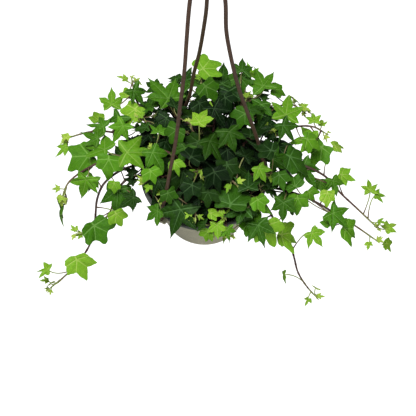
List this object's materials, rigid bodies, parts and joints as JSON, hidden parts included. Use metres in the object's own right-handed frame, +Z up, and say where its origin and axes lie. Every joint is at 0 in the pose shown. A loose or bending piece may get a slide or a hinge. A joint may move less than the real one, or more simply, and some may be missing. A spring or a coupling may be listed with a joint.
{
  "type": "potted trailing ivy in a hanging pot",
  "caption": "Young trailing ivy with lobed leaves mounding over and hanging from a round plastic pot, held by a hanger of strands, hub and hook.",
  "frame": {"origin": "the spot inside the hanger's hook that bears on whatever holds it up", "axes": "+Z up along the hanger's middle; +X to the right and -Y to the front, as the plant is looked at"},
  "size_m": [0.4379, 0.2489, 0.5507],
  "materials": {
    "pot": "satin taupe grey, faintly mottled",
    "soil": "loose dark potting mix",
    "hanger": "satin dark brown",
    "foliage": "soft waxy leaf"
  },
  "bodies": {
    "root": {"pot": "pot", "soil": "soil", "hanger": "hanger", "vine_01": "foliage", "vine_02": "foliage", "vine_03": "foliage", "vine_04": "foliage", "vine_05": "foliage", "vine_06": "foliage", "vine_07": "foliage", "vine_08": "foliage", "vine_09": "foliage", "vine_10": "foliage", "vine_11": "foliage", "vine_12": "foliage", "vine_13": "foliage", "vine_14": "foliage", "vine_15": "foliage", "vine_16": "foliage", "vine_17": "foliage", "vine_18": "foliage", "vine_19": "foliage", "vine_20": "foliage", "vine_21": "foliage", "vine_22": "foliage", "vine_23": "foliage", "vine_24": "foliage", "vine_25": "foliage", "vine_26": "foliage", "vine_27": "foliage", "vine_28": "foliage", "vine_29": "foliage", "vine_30": "foliage", "vine_31": "foliage", "vine_32": "foliage", "vine_33": "foliage", "vine_34": "foliage"}
  },
  "joints": []
}
